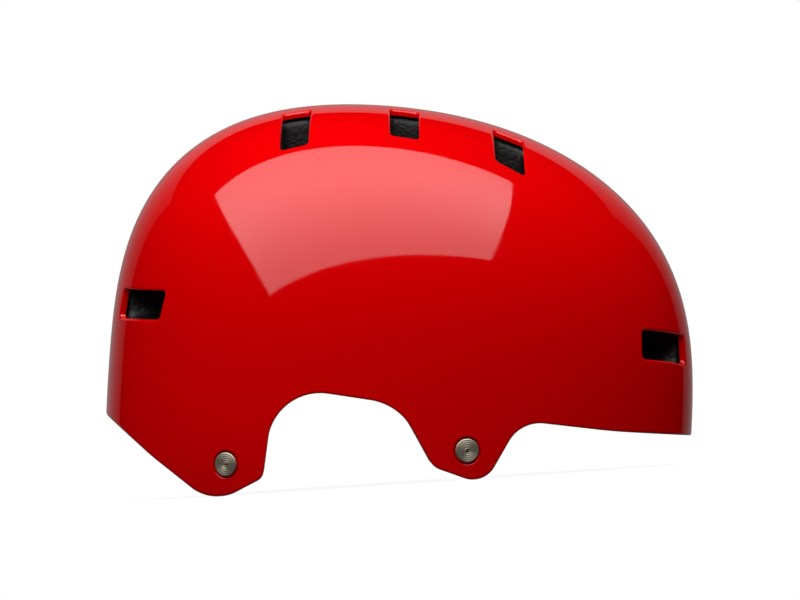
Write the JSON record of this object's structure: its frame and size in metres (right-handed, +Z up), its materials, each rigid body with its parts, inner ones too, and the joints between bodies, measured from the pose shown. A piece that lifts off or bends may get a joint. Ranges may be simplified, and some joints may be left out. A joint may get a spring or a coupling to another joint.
{
  "type": "bmx helmet",
  "caption": "Hard-shell riding helmet with ear arches, slotted vents, foam liner, comfort pads, riveted hangers and a stowed webbing harness with side-release buckle.",
  "frame": {"origin": "on the surface the helmet stands on, below the middle of its length and width", "axes": "+X towards the brow, +Y towards the wearer's left, +Z up"},
  "size_m": [0.2806, 0.2218, 0.1823],
  "materials": {
    "shell": "polished moulded plastic",
    "foam": "moulded bead foam",
    "rivet_steel": "turned",
    "hanger_steel": "zinc plated",
    "hook_fabric": "hook tape",
    "pad_fabric": "brushed knit over foam",
    "webbing": "woven",
    "nylon": "fine grain"
  },
  "bodies": {
    "helmet": {"shell": "shell", "foam_liner": "foam", "rivets": "rivet_steel", "rivet_washers": "hanger_steel", "left_front_hanger": "hanger_steel", "left_rear_hanger": "hanger_steel", "right_front_hanger": "hanger_steel", "right_rear_hanger": "hanger_steel", "hook_discs": "hook_fabric", "brow_pad": "pad_fabric", "nape_pad": "pad_fabric", "crown_pad": "pad_fabric", "left_temple_pad": "pad_fabric", "right_temple_pad": "pad_fabric"},
    "left_harness": {"left_front_strap": "webbing", "left_rear_strap": "webbing", "left_chin_strap": "webbing", "left_divider": "nylon", "left_divider_pin": "hanger_steel"},
    "right_harness": {"right_front_strap": "webbing", "right_rear_strap": "webbing", "right_chin_strap": "webbing", "right_divider": "nylon", "right_divider_pin": "hanger_steel"},
    "left_lever": {"left_divider_lever": "nylon"},
    "right_lever": {"right_divider_lever": "nylon"},
    "socket": {"buckle_socket": "nylon"},
    "plug": {"buckle_plug": "nylon"},
    "upper_prong": {"upper_prong": "nylon"},
    "lower_prong": {"lower_prong": "nylon"},
    "keeper": {"strap_keeper": "nylon"}
  },
  "joints": [
    {"name": "left_harness_swing", "type": "hinge", "parent": "helmet", "child": "left_harness", "pos_m": [-0.08363, 0.08534, 0.007], "axis": [0.9969, 0.0791, 0], "range_deg": [0, 140]},
    {"name": "right_harness_swing", "type": "hinge", "parent": "helmet", "child": "right_harness", "pos_m": [-0.08363, -0.08534, 0.007], "axis": [-0.9969, 0.0791, 0], "range_deg": [0, 140]},
    {"name": "left_lever_flip", "type": "hinge", "parent": "left_harness", "child": "left_lever", "pos_m": [-0.03675, 0.02562, 0.11194], "axis": [-0.9969, -0.0791, 0], "range_deg": [0, 100]},
    {"name": "right_lever_flip", "type": "hinge", "parent": "right_harness", "child": "right_lever", "pos_m": [-0.03675, -0.02562, 0.11194], "axis": [0.9969, -0.0791, 0], "range_deg": [0, 100]},
    {"name": "socket_tilt", "type": "hinge", "parent": "left_harness", "child": "socket", "pos_m": [0.02233, 0.03543, 0.10769], "axis": [0.0649, 0.504, -0.8613], "range_deg": [-10, 40]},
    {"name": "plug_tilt", "type": "hinge", "parent": "right_harness", "child": "plug", "pos_m": [0.02233, -0.03543, 0.10769], "axis": [-0.0649, 0.504, 0.8613], "range_deg": [-10, 40]},
    {"name": "upper_prong_flex", "type": "hinge", "parent": "plug", "child": "upper_prong", "pos_m": [0.03155, -0.03156, 0.11564], "axis": [0.0685, 0.8633, -0.5], "range_deg": [0, 6], "stiffness_Nm_per_rad": 0.4},
    {"name": "lower_prong_flex", "type": "hinge", "parent": "plug", "child": "lower_prong", "pos_m": [0.03261, -0.03982, 0.10152], "axis": [-0.0685, -0.8633, 0.5], "range_deg": [0, 6], "stiffness_Nm_per_rad": 0.4},
    {"name": "keeper_slide", "type": "slide", "parent": "right_harness", "child": "keeper", "axis": [0.9955, -0.0266, 0.0905], "range_m": [-0.007, 0.009]}
  ]
}
